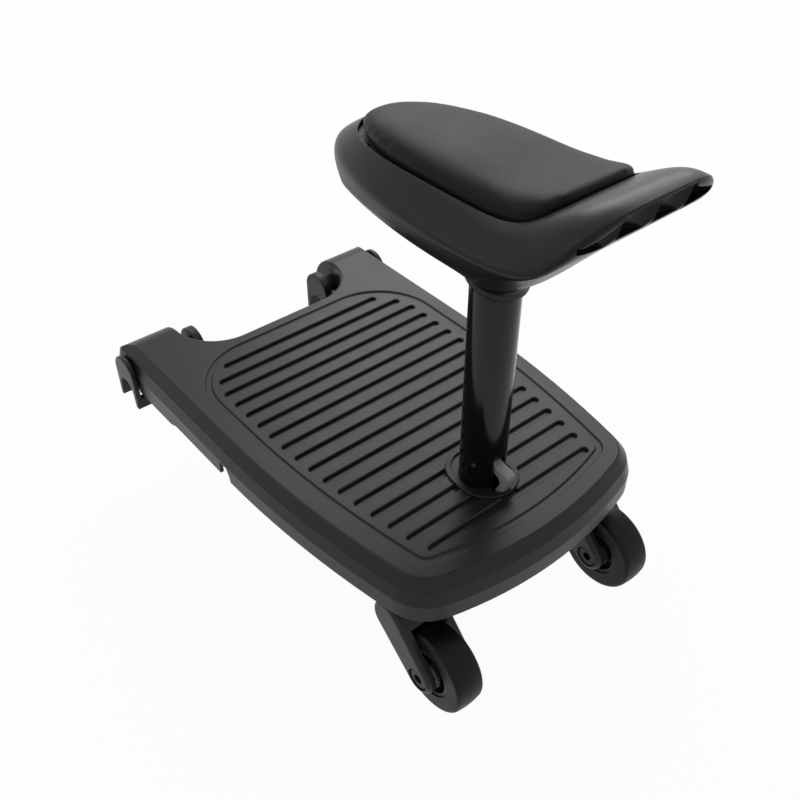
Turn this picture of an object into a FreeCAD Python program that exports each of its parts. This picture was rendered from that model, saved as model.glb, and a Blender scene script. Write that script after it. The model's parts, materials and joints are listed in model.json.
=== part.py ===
import FreeCAD, Part
import math
import os
from FreeCAD import Vector

# Buggy board: a ride-on board that hangs on a pram's rear axle by two rocking jaws, rolls on two
# swivel casters and carries a padded seat on a lift-out post.
# Millimetres. X runs across the board, Y forward towards the pram, Z up from the floor.

os.makedirs("parts", exist_ok=True)

# Deck, seen from above
deck_top = 142.0          # height of the flat top above the floor
deck_half = 137.7         # half-width of the flat top
nose_y = 245.5            # front of the ears
front_edge_y = 164.7      # front edge between the ears
taper_y = 41.4            # where the sides begin to close in
deck_rear_y = -194.8      # rear of the flat top on the middle line
side_radius = 975.0       # long arc of each side
bow_radius = 351.0        # arc of the rear edge
rear_corner = 30.0        # plan radius of the rear corners
ear_corner = 16.0         # plan radius of the ears' outer corners
ear_inner = 93.6          # half the gap between the ears
ear_fillet = 47.0         # plan radius where the ears meet the front edge

# Deck, seen from the side
chamfer_run = 10.8        # slope round the top: how far it reaches outwards
chamfer_drop = 21.5       # and how far it drops
deck_depth = 37.0         # top to the lower edge of the skirt
ear_extra = 4.0           # the skirt is this much deeper below the ears
step_y = 137.3            # where the deeper skirt ends
step_run = 10.4           # length of the slanted step there
nose_radius = 36.0        # round of the ears' noses
wall = 3.2                # wall of the moulding
top_round = 2.2           # round of the top's outer edge
ear_round = 2.5           # round of the top edge between the ears
skirt_notch_y = 49.0      # front of the finger notch in each side
skirt_notch_width = 16.2
skirt_notch_height = 13.5
skirt_notch_slope = 5.2   # how far the rear side of the notch leans

# Grooves of the top
groove_count = 17
groove_first_y = 131.4
groove_pitch = 18.0
groove_width = 6.6
groove_depth = 3.0
groove_bevel = 0.8        # slope along the groove's edges
groove_inset = 27.0       # groove ends, in from the flat top's edge
groove_front = 24.4       # front of the grooved field, back from the front edge
groove_corner = 50.0      # its front corners
border_inset = 17.0       # middle of the border groove, in from the flat top's edge
border_front = 14.4       # and back from the front edge
border_width = 7.0
border_depth = 1.6
border_slope = 1.2        # slope of the border groove's sides
border_corner = 60.0      # its front corners

# Ribs below the deck
rib = 2.4
rib_depth = 28.0          # from the flat top down
rib_cross_count = 8
rib_cross_y = 149.4       # foremost cross rib
rib_cross_pitch = 42.0
rib_long_x = 46.0         # inner pair of lengthwise ribs
rib_long_outer_x = 86.0

# Jaws that sit on the pram's axle
jaw_y = 214.2             # pin of the jaws
jaw_below = 26.1          # pin below the deck's top
jaw_crown = 18.0          # outer radius of the arch
jaw_leg = 33.3            # legs' tips below the pin
jaw_channel = 12.0        # radius of the channel's round top
jaw_channel_below = 18.3  # middle of that radius below the pin
jaw_flare = 1.4           # the channel opens by this at each tip
jaw_wall_top = 22.0       # cross walls start this far below the pin
jaw_cheek = 5.0           # outer cheek
jaw_cheek_gap = 0.5       # between the skirt and the outer cheek
jaw_inner_x = 72.9        # inner face of the inner cheek
jaw_inner_cheek = 9.0
jaw_hub = 9.5             # hub on the pin between inner cheek and ear
jaw_hub_gap = 0.6
jaw_edge = 1.2            # round of the cheeks' edges
jaw_pin = 3.0             # radius of the pin
jaw_pin_cover = 1.6       # what is left of the cheeks past the pin's ends
lug = 8.5                 # pin lugs inside the ear
lug_length = 9.0
jaw_swing = 15.0          # degrees that the jaws rock each way
axle_gap = 0.6            # round the pram's axle inside the ear
running_fit = 0.05        # radial play of what turns
flush_gap = 0.2           # gap between faces that pass each other

# Casters
caster_x = 98.3
swivel_y = -142.2
axle_y = -184.9
wheel_radius = 38.5
tyre_half = 13.5
tyre_inner = 22.5
tyre_shoulder = 3.6
tyre_crown = 0.8          # the tread's middle stands out by this
hub_rim = 3.0
hub_half = 12.3
hub_web_half = 4.0
hub_boss = 14.0
bearing_outer = 11.0
bearing_width = 7.0
axle_radius = 4.0
fork_half = 23.75         # half-width over the legs
fork_leg = 8.0
fork_foot = 14.2          # round of the legs about the axle
fork_top_radius = 16.4    # round of the fork's upper end
fork_top_y = -146.0
fork_top_z = 75.4
fork_round = 4.0          # round of the legs' outer edges
fork_clear = 3.0          # between tyre and crown
head_radius = 15.5        # swivel head
bolt_head = 9.0
bolt_head_depth = 4.0
bolt_recess = 10.2        # counterbore in the leg
bolt_hex = 4.0            # socket, across the corners, halved
bolt_hex_depth = 2.6
bolt_sink = 0.8           # head below the leg's face
spacer_radius = 6.6
stem_radius = 5.5
stem_foot_z = 82.0
stem_top_below = 10.0     # stem's end below the deck's top
stem_bore_below = 8.0     # roof of the boss's bore below the deck's top
bush_wall = 2.5
bush_flange = 13.0
bush_flange_depth = 2.0
bush_top_below = 15.0     # upper end of the bush below the deck's top
clip_depth = 1.2
clip_reach = 1.7          # clip outside the stem
clip_seat = 0.6           # clip's groove in the stem
caster_boss = 15.5

# Post and socket
post_y = -121.0
post_radius = 19.0
post_wall = 2.5
post_foot_z = 84.0
post_top_z = 357.0
socket_half = 26.5        # oblong collar, half-width
socket_half_long = 32.0   # and half-length
socket_let = 3.2          # let into the deck
socket_rise = 2.0         # rim above the deck
socket_open_half = 20.4
socket_open_long = 27.4
socket_round = 0.9
socket_wall = 3.4
socket_fit = 0.08
socket_lip = 3.0          # ring that the post stands on
socket_lip_reach = 5.0
well_wall = 3.4           # deck's own wall round the socket
screw_radius = 1.5
screw_head = 2.8
screw_head_depth = 1.8
screw_x = 18.8
screw_y = 19.8
plug_length = 16.0
plug_flange = 3.0
top_plug_length = 26.0

# Release lever at the post's foot
lever_half = 5.5
lever_gap = 0.7
pivot_back = 6.7          # lever's pin behind the post's middle
pivot_rise = 24.0         # and above the deck
pivot_boss = 5.0
lever_pin = 2.0
lever_tab_top = 26.4      # tab above the deck
lever_tab_reach = 33.4    # tab behind the post's middle
lever_tab_foot = 13.5
lever_stem_front = 20.6
lever_stem_rear = 26.2
lever_hook_reach = 29.4
lever_hook_top = 11.0     # hook below the deck
lever_foot = 19.0
lever_round = 3.4
lever_slot_top = 29.5     # tube's slot, above the deck
lever_slot_foot = 23.0    # and below it
latch_wall = 2.6
spring_wire = 0.7
spring_pitch = 1.75
spring_turns = 3

# Seat
collar_radius = 23.7
collar_depth = 8.5
seat_base_z = 337.0       # seam of the collar and the shell, at the post's middle
seam_radius = 23.7
seam_tilt = 7.5           # the seam rises this much to its front and drops as much to its rear
collar_round = 4.0
seat_rise = 111.0         # shell's lower end to the tail's crest
seat_front = 164.2        # tip in front of the post
seat_rear = 124.5         # tail behind the post
seat_half = 64.8
pad_front = 131.0
pad_rear = 77.0
pad_wide = 14.0           # widest place of the pad behind the post
pad_half = 46.6
pad_gap = 2.2
pocket_floor_z = 395.8
board = 4.0
board_gap = 0.6
pad_edge = 17.4           # pad's edge above the board
pad_rear_rise = 15.0      # edge's rise at the rear
pad_front_fall = 7.0
pad_crown = 5.0
ledge = 7.0
neck_web = 7.0            # shell's floor over the tube's end
cavity_wall = 9.0
seat_bolt = 4.0
seat_bolt_head = 7.0
seat_bolt_head_depth = 5.2
seat_bolt_length = 21.0
washer_radius = 10.0
washer_depth = 2.0
pad_screw_length = 9.0
scoop_radius = 18.0
scoop_pitch = 27.0
rim_inset = 5.5           # tail's rim, in from the end of the rows
rim_drop = 11.5           # and below the height of the rise
grip_height = 25.5        # height of the grip face below the rim
grip_lean = 12.5          # its lower edge lies this much further forward
rim_band = 7.5            # plain band between the rim and the scoops
middle_y = 3.35           # middle of the whole length, where the frame's zero goes
overrun = 6.0             # cutters reach past what they cut
sliver = 0.01

# Seat shell's level curves, each a row of shares: front reach and height, rear reach and height,
# half-width, height of the sides, place of the widest point (share of the rear reach), fullness of the rear.
hull_shares = [
    (0.352, 0.050, 0.207, 0.007, 0.517, 0.106, 0.023, 2.1),
    (0.631, 0.164, 0.431, 0.112, 0.784, 0.233, 0.106, 2.2),
    (0.895, 0.243, 0.551, 0.388, 0.969, 0.356, 0.221, 2.5),
    (1.030, 0.260, 0.788, 0.632, 1.049, 0.489, 0.354, 3.2),
    (0.988, 0.290, 0.915, 0.724, 1.103, 0.519, 0.423, 4.4),
    (0.991, 0.429, 0.970, 0.790, 1.134, 0.516, 0.439, 5.2),
    (0.878, 0.538, 0.982, 0.856, 1.039, 0.527, 0.386, 5.6),
    (0.787, 0.631, 0.830, 0.945, 0.885, 0.623, 0.323, 5.4),
    (0.679, 0.724, 0.496, 0.727, 0.656, 0.703, 0.326, 4.0),
    (0.200, 0.690, 0.430, 0.690, 0.100, 0.690, 0.345, 2.2),
]
front_fullness_share = 2.2
seam_fullness_shares = (2.2, 2.2)
loop_angle_shares = [0, 0.04, 0.10, 0.20, 0.32, 0.42, 0.5, 0.57, 0.64, 0.72, 0.80, 0.88, 0.95, 1]

# Pad's level curves: share of the outline, share of the edge's height, share of the crown, share of the rise
pad_shares = [
    (0.955, 0.00, 0.00, 0.00),
    (0.995, 0.40, 0.00, 0.40),
    (1.000, 0.78, 0.00, 0.85),
    (0.985, 1.00, 0.00, 1.00),
    (0.930, 1.00, 0.42, 0.90),
    (0.700, 1.00, 0.80, 0.45),
    (0.400, 1.00, 0.97, 0.12),
    (0.080, 1.00, 1.00, 0.00),
]
pad_fullness_shares = (2.5, 5.0)
pad_climb_share = 2.5
hull_climb_share = 1.0
swell_out_share = 0.70    # the slope round the top is swollen: how far out, at what share of its drop
swell_drop_share = 0.46
pad_screw_angle_shares = [0.22, -0.22, 0.55, -0.55]
scoop_place_shares = [-1, 0, 1]

# Worked out from the sizes above
skirt_half = deck_half + chamfer_run
skirt_z = deck_top - deck_depth
ear_z = skirt_z - ear_extra
brim_z = deck_top - chamfer_drop
jaw_z = deck_top - jaw_below
jaw_outer_x = skirt_half + jaw_cheek_gap
axle_z = wheel_radius
pivot_y = post_y - pivot_back
pivot_z = deck_top + pivot_rise
board_top_z = pocket_floor_z + board
origin = Vector(0, 0, 0)
across = Vector(1, 0, 0)
upright = Vector(0, 0, 1)


def save(name, shape):
    shape.translated(Vector(0, -middle_y, 0)).exportStep("parts/" + name + ".step")


def both_sides(name, shape):
    save("right_" + name, shape)
    save("left_" + name, shape.mirror(origin, across))


def box(x0, x1, y0, y1, z0, z1):
    return Part.makeBox(x1 - x0, y1 - y0, z1 - z0, Vector(x0, y0, z0))


def rod(radius, x, y, z0, z1):
    return Part.makeCylinder(radius, z1 - z0, Vector(x, y, z0), upright)


def cross_rod(radius, x0, x1, y, z):
    return Part.makeCylinder(radius, x1 - x0, Vector(x0, y, z), across)


def ring(outer, inner, x, y, z0, z1):
    return rod(outer, x, y, z0, z1).cut(rod(inner, x, y, z0, z1))


def fuse_all(shapes):
    body = shapes[0]
    for shape in shapes[1:]:
        body = body.fuse(shape)
    return body.removeSplitter()


def line(p, q):
    return Part.LineSegment(p, q).toShape()


def arc(centre, radius, start, end, z, flip):
    places = []
    for angle in (start, (start + end) / 2, end):
        x = centre.x + radius * math.cos(angle)
        y = centre.y + radius * math.sin(angle)
        places.append(Vector(flip * x, y, z))
    return Part.Arc(places[0], places[1], places[2]).toShape()


# Outline of the deck from above, drawn in from the flat top's edge by inset

side_centre = Vector(deck_half - side_radius, taper_y, 0)
bow_centre = Vector(0, deck_rear_y + bow_radius, 0)


def rear_corner_centre():
    near = side_radius - rear_corner
    far = bow_radius - rear_corner
    span = bow_centre - side_centre
    reach = span.Length
    along = (near * near - far * far + reach * reach) / (2 * reach)
    off = math.sqrt(near * near - along * along)
    return side_centre + span * (along / reach) + Vector(span.y, -span.x, 0) * (off / reach)


corner_centre = rear_corner_centre()
side_angle = math.atan2(corner_centre.y - side_centre.y, corner_centre.x - side_centre.x)
bow_angle = math.atan2(corner_centre.y - bow_centre.y, corner_centre.x - bow_centre.x)


def outline(inset, front, front_corner, z):
    half = deck_half - inset
    nose_centre = Vector(half - front_corner, front - front_corner, 0)
    quarter = math.pi / 2
    edges = [line(Vector(-nose_centre.x, front, z), Vector(nose_centre.x, front, z))]
    edges.append(arc(nose_centre, front_corner, quarter, 0, z, 1))
    edges.append(line(Vector(half, nose_centre.y, z), Vector(half, taper_y, z)))
    edges.append(arc(side_centre, side_radius - inset, 0, side_angle, z, 1))
    edges.append(arc(corner_centre, rear_corner - inset, side_angle, bow_angle, z, 1))
    edges.append(arc(bow_centre, bow_radius - inset, bow_angle, -math.pi - bow_angle, z, 1))
    edges.append(arc(corner_centre, rear_corner - inset, bow_angle, side_angle, z, -1))
    edges.append(arc(side_centre, side_radius - inset, side_angle, 0, z, -1))
    edges.append(line(Vector(-half, taper_y, z), Vector(-half, nose_centre.y, z)))
    edges.append(arc(nose_centre, front_corner, 0, quarter, z, -1))
    return Part.Wire(edges)


def half_width(y, inset, front, front_corner):
    half = deck_half - inset
    fold = front - front_corner
    if y > fold:
        return half - front_corner + math.sqrt(front_corner ** 2 - (y - fold) ** 2)
    if y > taper_y:
        return half
    side = side_centre.x + math.sqrt((side_radius - inset) ** 2 - (y - taper_y) ** 2)
    corner = rear_corner - inset
    if y < corner_centre.y + corner * math.sin(side_angle):
        return corner_centre.x + math.sqrt(max(corner ** 2 - (y - corner_centre.y) ** 2, 0))
    return side


def ear_gap(grow):
    half = ear_inner + grow
    rear = front_edge_y - grow
    bend = ear_fillet + grow
    front = nose_y + overrun
    z0 = ear_z - overrun
    centre = Vector(half - bend, rear + bend, 0)
    edges = [line(Vector(-half, front, z0), Vector(-half, centre.y, z0))]
    edges.append(arc(centre, bend, 0, -math.pi / 2, z0, -1))
    edges.append(line(Vector(-centre.x, rear, z0), Vector(centre.x, rear, z0)))
    edges.append(arc(centre, bend, -math.pi / 2, 0, z0, 1))
    edges.append(line(Vector(half, centre.y, z0), Vector(half, front, z0)))
    edges.append(line(Vector(half, front, z0), Vector(-half, front, z0)))
    return Part.Face(Part.Wire(edges)).extrude(Vector(0, 0, deck_top + overrun - z0))


def nose_cut(inset):
    reach = skirt_half + overrun
    fold_y = nose_y - nose_radius
    fold_z = deck_top - nose_radius
    radius = nose_radius - inset + sliver
    lean = radius * math.sqrt(0.5)
    high = deck_top + overrun
    front = nose_y + overrun
    top = Vector(-reach, fold_y, fold_z + radius)
    low = Vector(-reach, fold_y + radius, fold_z)
    edges = [Part.Arc(top, Vector(-reach, fold_y + lean, fold_z + lean), low).toShape()]
    corners = [low, Vector(-reach, front, fold_z), Vector(-reach, front, high), Vector(-reach, fold_y, high), top]
    for start, end in zip(corners, corners[1:]):
        edges.append(line(start, end))
    return Part.Face(Part.Wire(edges)).extrude(Vector(2 * reach, 0, 0))


def oblong(half, half_long, y, z0, z1):
    shift = half_long - half
    body = box(-half, half, y - shift, y + shift, z0, z1)
    return fuse_all([body, rod(half, 0, y - shift, z0, z1), rod(half, 0, y + shift, z0, z1)])


# Deck shell

def deck_body():
    top = outline(0, nose_y, ear_corner, deck_top)
    swell = outline(-chamfer_run * swell_out_share, nose_y, ear_corner, deck_top - chamfer_drop * swell_drop_share)
    brim = outline(-chamfer_run, nose_y, ear_corner, brim_z)
    cap = Part.makeLoft([brim, swell, top], True, True)
    skirt = Part.Face(brim).extrude(Vector(0, 0, ear_z - brim_z))
    body = cap.fuse(skirt).removeSplitter()
    rim = [edge for edge in body.Edges if edge.BoundBox.ZMin > deck_top - sliver]
    body = body.makeFillet(top_round, rim)
    body = body.cut(nose_cut(0))
    return body.cut(ear_gap(0))


def deck_cavity():
    top = outline(wall, nose_y - wall, ear_corner - wall, deck_top - wall)
    brim = outline(wall - chamfer_run, nose_y - wall, ear_corner - wall, brim_z)
    cap = Part.makeLoft([brim, top], True, True)
    skirt = Part.Face(brim).extrude(Vector(0, 0, ear_z - overrun - brim_z))
    space = cap.fuse(skirt).removeSplitter()
    return space.cut(nose_cut(wall)).cut(ear_gap(wall))


def rib_grid():
    reach = skirt_half
    low = deck_top - rib_depth
    bars = []
    for place in (-rib_long_outer_x, -rib_long_x, rib_long_x, rib_long_outer_x):
        bars.append(box(place - rib / 2, place + rib / 2, deck_rear_y, nose_y, low, deck_top - wall))
    for index in range(rib_cross_count):
        y = rib_cross_y - index * rib_cross_pitch
        bars.append(box(-reach, reach, y - rib / 2, y + rib / 2, low, deck_top - wall))
    return fuse_all(bars)


def groove_cutters():
    field_front = front_edge_y - groove_front
    cutters = []
    for index in range(groove_count):
        y = groove_first_y - index * groove_pitch
        reach = half_width(y, groove_inset, field_front, groove_corner)
        cutters.append(groove(y, reach))
    return cutters


def slot_wire(y, reach, radius, z):
    turn = math.pi / 2
    far = Vector(reach - groove_width / 2, y, 0)
    edges = [line(Vector(-far.x, y + radius, z), Vector(far.x, y + radius, z))]
    edges.append(arc(far, radius, turn, -turn, z, 1))
    edges.append(line(Vector(far.x, y - radius, z), Vector(-far.x, y - radius, z)))
    edges.append(arc(far, radius, -turn, turn, z, -1))
    return Part.Wire(edges)


def groove(y, reach):
    radius = groove_width / 2
    bevel_z = deck_top - groove_bevel
    slope = Part.makeLoft([slot_wire(y, reach, radius, bevel_z),
                           slot_wire(y, reach, radius + groove_bevel, deck_top)], True, True)
    floor = Part.Face(slot_wire(y, reach, radius, bevel_z)).extrude(Vector(0, 0, groove_bevel - groove_depth))
    return slope.fuse(floor)


def border_cutter():
    half = border_width / 2
    front = front_edge_y - border_front
    low = deck_top - border_depth
    outer = Part.makeLoft([
        outline(border_inset - half + border_slope, front + half - border_slope,
                border_corner + half - border_slope, low),
        outline(border_inset - half, front + half, border_corner + half, deck_top)], True, True)
    inner = Part.makeLoft([
        outline(border_inset + half - border_slope, front - half + border_slope,
                border_corner - half + border_slope, low),
        outline(border_inset + half, front - half, border_corner - half, deck_top)], True, True)
    return outer.cut(inner)


def side_prism(points, x0, x1):
    wire = Part.makePolygon([Vector(x0, y, z) for y, z in points + points[:1]])
    return Part.Face(wire).extrude(Vector(x1 - x0, 0, 0))


def make_deck():
    body = deck_body()
    gap_edges = []
    for edge in body.Edges:
        low = edge.BoundBox
        inside = low.XMax < ear_inner + sliver and low.XMin > -ear_inner - sliver
        if inside and low.ZMin > deck_top - sliver and low.YMin > front_edge_y - sliver:
            gap_edges.append(edge)
    body = body.makeFillet(ear_round, gap_edges)
    space = deck_cavity()
    shell = body.cut(space)
    solids = [shell, rib_grid().common(space)]
    for side in (-1, 1):
        solids.append(rod(caster_boss, side * caster_x, swivel_y, skirt_z, deck_top - wall))
    well = socket_half + socket_fit + well_wall
    well_long = socket_half_long + socket_fit + well_wall
    solids.append(oblong(well, well_long, post_y, skirt_z, deck_top - wall))
    for side in (-1, 1):
        for inner, outer in ((ear_inner, ear_inner + lug_length), (skirt_half - lug_length, skirt_half)):
            low = min(side * inner, side * outer)
            solids.append(cross_rod(lug, low, low + outer - inner, jaw_y, jaw_z))
    body = fuse_all(solids)

    cutters = groove_cutters()
    cutters.append(border_cutter())
    step = [(step_y, ear_z), (step_y - step_run, skirt_z), (deck_rear_y - bow_radius, skirt_z),
            (deck_rear_y - bow_radius, ear_z - overrun), (step_y, ear_z - overrun)]
    cutters.append(side_prism(step, -skirt_half - overrun, skirt_half + overrun))
    notch_rear = skirt_notch_y - skirt_notch_width
    notch_top = skirt_z + skirt_notch_height
    notch = [(skirt_notch_y, skirt_z - overrun), (skirt_notch_y, notch_top),
             (notch_rear + skirt_notch_slope, notch_top),
             (notch_rear + skirt_notch_slope / 3, skirt_z + skirt_notch_height / 2),
             (notch_rear, skirt_z), (notch_rear, skirt_z - overrun)]
    for side in (-1, 1):
        edge = side * (skirt_half - 2 * wall)
        rim = side * (skirt_half + overrun)
        cutters.append(side_prism(notch, min(edge, rim), max(edge, rim)))
        bore = stem_radius + running_fit + bush_wall
        cutters.append(rod(bore, side * caster_x, swivel_y, skirt_z - overrun, deck_top - stem_bore_below))
        far = skirt_half + overrun
        pin_from = min(side * ear_inner, side * far)
        cutters.append(cross_rod(jaw_pin, pin_from, pin_from + far - ear_inner, jaw_y, jaw_z))
    way = axle_way()
    cutters.append(way)
    cutters.append(way.mirror(origin, across))
    half = socket_half + socket_fit
    half_long = socket_half_long + socket_fit
    cutters.append(oblong(half, half_long, post_y, deck_top - socket_let, deck_top + overrun))
    tube = post_radius + socket_fit + socket_wall + socket_fit
    cutters.append(rod(tube, 0, post_y, skirt_z - overrun, deck_top))
    latch_half = lever_half + lever_gap + latch_wall + socket_fit
    latch_rear = post_y - lever_hook_reach - lever_gap - latch_wall - socket_fit
    cutters.append(box(-latch_half, latch_half, latch_rear, post_y, skirt_z - overrun, deck_top))
    for x, y in screw_places():
        cutters.append(rod(screw_radius, x, y, skirt_z - overrun, deck_top))
        cutters.append(rod(screw_head + flush_gap, x, y, skirt_z - overrun, skirt_z + screw_head_depth))
    for cutter in cutters:
        body = body.cut(cutter)
    return body


def axle_way():
    radius = jaw_channel + axle_gap
    x0 = ear_inner - overrun
    x1 = skirt_half + overrun
    swing = math.radians(jaw_swing)
    bodies = []
    for angle in (-swing, 0, swing):
        y = jaw_y + jaw_channel_below * math.sin(angle)
        z = jaw_z - jaw_channel_below * math.cos(angle)
        bodies.append(cross_rod(radius, x0, x1, y, z))
    half = radius + jaw_channel_below * math.sin(swing)
    level = jaw_z - jaw_channel_below * math.cos(swing)
    bodies.append(box(x0, x1, jaw_y - half, jaw_y + half, ear_z - overrun, level))
    return fuse_all(bodies)


def screw_places():
    return [(i * screw_x, post_y + j * screw_y) for i in (-1, 1) for j in (-1, 1)]


# Post socket with its latch

def make_socket():
    rim_z = deck_top + socket_rise
    low = deck_top - socket_let
    flange = oblong(socket_half, socket_half_long, post_y, low, rim_z)
    flange = flange.cut(oblong(socket_open_half, socket_open_long, post_y, deck_top, rim_z + overrun))
    lips = [edge for edge in flange.Edges if edge.BoundBox.ZMin > rim_z - sliver]
    flange = flange.makeFillet(socket_round, lips)
    bore = post_radius + socket_fit
    foot = post_foot_z - plug_flange - socket_lip
    latch_half = lever_half + lever_gap + latch_wall
    latch_rear = post_y - lever_hook_reach - lever_gap - latch_wall
    latch_foot = deck_top - lever_slot_foot - latch_wall
    body = fuse_all([flange, rod(bore + socket_wall, 0, post_y, foot, low),
                     box(-latch_half, latch_half, latch_rear, post_y, latch_foot, low)])
    body = body.cut(rod(bore, 0, post_y, foot + socket_lip, rim_z))
    body = body.cut(rod(bore - socket_lip_reach, 0, post_y, foot - overrun, foot + overrun))
    half = lever_half + lever_gap
    slot_foot = deck_top - lever_slot_foot
    slot_rear = post_y - lever_stem_rear - lever_gap
    hook_rear = post_y - lever_hook_reach - lever_gap
    body = body.cut(box(-half, half, slot_rear, post_y, slot_foot, rim_z))
    body = body.cut(box(-half, half, hook_rear, post_y, slot_foot, deck_top - lever_hook_top + flush_gap))
    for x, y in screw_places():
        body = body.cut(rod(screw_radius, x, y, low, deck_top + socket_rise / 3))
    return body


def make_socket_screws():
    screws = []
    for x, y in screw_places():
        head = rod(screw_head, x, y, skirt_z, skirt_z + screw_head_depth)
        screws.append(head.fuse(rod(screw_radius, x, y, skirt_z, deck_top + socket_rise / 3)).removeSplitter())
    return Part.makeCompound(screws)


# Post, its plugs and the release lever

def make_post():
    inner = post_radius - post_wall
    body = ring(post_radius, inner, 0, post_y, post_foot_z, post_top_z)
    half = lever_half + lever_gap
    slot = box(-half, half, post_y - post_radius - overrun, post_y,
               deck_top - lever_slot_foot, deck_top + lever_slot_top)
    body = body.cut(slot)
    return body.cut(cross_rod(lever_pin, -post_radius - overrun, post_radius + overrun, pivot_y, pivot_z))


def make_foot_plug():
    inner = post_radius - post_wall
    flange = rod(post_radius, 0, post_y, post_foot_z - plug_flange, post_foot_z)
    return flange.fuse(rod(inner, 0, post_y, post_foot_z, post_foot_z + plug_length)).removeSplitter()


def make_top_plug():
    inner = post_radius - post_wall
    plug = rod(inner, 0, post_y, post_top_z - top_plug_length, post_top_z)
    return plug.cut(rod(seat_bolt, 0, post_y, post_top_z - top_plug_length, post_top_z))


def lever_place(back, rise):
    return (post_y - back, deck_top + rise)


def make_lever():
    tab = lever_tab_top
    points = [(pivot_back - pivot_boss, pivot_rise), (pivot_back, pivot_rise + pivot_boss),
              (lever_stem_front, tab + lever_gap), (lever_tab_reach, tab),
              (lever_tab_reach, lever_tab_foot), (lever_stem_rear + lever_gap, lever_round),
              (lever_stem_rear, 0), (lever_stem_rear, -lever_hook_top), (lever_hook_reach, -lever_hook_top),
              (lever_hook_reach, -lever_hook_top - lever_round), (lever_stem_rear, -lever_foot),
              (lever_stem_front, -lever_foot), (lever_stem_front, 0),
              (post_radius - post_wall, lever_tab_foot), (pivot_back, pivot_rise - pivot_boss)]
    outline_points = [lever_place(back, rise) for back, rise in points]
    body = side_prism(outline_points, -lever_half, lever_half)
    body = body.fuse(cross_rod(pivot_boss, -lever_half, lever_half, pivot_y, pivot_z)).removeSplitter()
    corners = []
    for edge in body.Edges:
        place = edge.BoundBox
        tip = place.YMax < post_y - lever_tab_reach + sliver
        if tip and place.XLength > lever_half:
            corners.append(edge)
    body = body.makeFillet(lever_round, corners)
    rims = []
    for edge in body.Edges:
        place = edge.BoundBox
        flat = place.XLength < sliver and place.YMax < post_y - post_radius
        if flat and place.ZMin > deck_top + lever_round - sliver:
            rims.append(edge)
    body = body.makeFillet(lever_round / 3, rims)
    reach = lever_half + overrun
    return body.cut(cross_rod(lever_pin + running_fit, -reach, reach, pivot_y, pivot_z))


def make_lever_pin():
    reach = math.sqrt(post_radius ** 2 - (pivot_back + lever_pin) ** 2)
    return cross_rod(lever_pin, -reach, reach, pivot_y, pivot_z)


def make_lever_spring():
    coil = lever_pin + spring_wire + flush_gap
    helix = Part.makeHelix(spring_pitch, spring_pitch * spring_turns, coil)
    section = Part.Wire(Part.makeCircle(spring_wire, Vector(coil, 0, 0), Vector(0, 1, 0)))
    spring = Part.Wire(helix.Edges).makePipeShell([section], True, True)
    spring.rotate(origin, Vector(0, 1, 0), 90)
    spring.translate(Vector(lever_half + spring_wire + flush_gap + running_fit, pivot_y, pivot_z))
    return spring


# Seat: collar, shell, board and pad

def seat_collar():
    reach = collar_radius + overrun
    rise = seam_tilt * reach / seam_radius
    low = seat_base_z - collar_depth
    corners = [Vector(-reach, post_y - reach, low - rise), Vector(-reach, post_y + reach, low + rise),
               Vector(-reach, post_y + reach, seat_base_z + rise), Vector(-reach, post_y - reach, seat_base_z - rise)]
    slice_face = Part.Face(Part.makePolygon(corners + corners[:1]))
    body = slice_face.extrude(across * (2 * reach))
    body = body.common(rod(collar_radius, 0, post_y, low - rise, seat_base_z + rise))
    middle_z = seat_base_z - collar_depth / 2
    lower = [edge for edge in body.Edges if edge.isClosed() and edge.BoundBox.Center.z < middle_z]
    body = body.makeFillet(collar_round, lower)
    return body.cut(rod(post_radius, 0, post_y, low - rise, seat_base_z + rise))


def signed(value, power):
    return math.copysign(abs(value) ** power, value)


def loop_place(front, front_z, rear, rear_z, half, side_z, wide, fullness, climb, angle):
    along = math.cos(angle)
    sideways = math.sin(angle)
    if abs(along) < sliver:
        along = 0
    if abs(sideways) < sliver:
        sideways = 0
    ahead = along > 0
    power = 2 / (fullness[0] if ahead else fullness[1])
    reach = front - wide if ahead else wide - rear
    tip = front_z if ahead else rear_z
    x = half * signed(sideways, power)
    y = wide + reach * signed(along, power)
    return Vector(x, y, side_z + (tip - side_z) * abs(along) ** (power * climb))


def loop(front, front_z, rear, rear_z, half, side_z, wide, fullness, climb):
    points = []
    for share in loop_angle_shares:
        angle = share * math.pi
        points.append(loop_place(front, front_z, rear, rear_z, half, side_z, wide, fullness, climb, angle))
    for point in points[-2:0:-1]:
        points.append(Vector(-point.x, point.y, point.z))
    return points


def loop_wire(points):
    curve = Part.BSplineCurve()
    curve.interpolate(Points=points, PeriodicFlag=True)
    return Part.Wire([curve.toShape()])


def skin(loops):
    levels = len(loops)
    places = len(loops[0])
    rise_knots = list(range(levels - 2))
    rise_mults = [4] + [1] * (levels - 4) + [4]
    round_knots = list(range(places + 1))
    round_mults = [1] * (places + 1)
    surface = Part.BSplineSurface()
    surface.buildFromPolesMultsKnots(loops, rise_mults, round_mults, rise_knots, round_knots, False, True, 3, 3)
    side = surface.toShape()
    caps = [Part.Face(Part.Wire([edge])) for edge in side.Edges if edge.isClosed()]
    shell = Part.Shell([side] + caps)
    shell.sewShape()
    return Part.Solid(shell)


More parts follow.
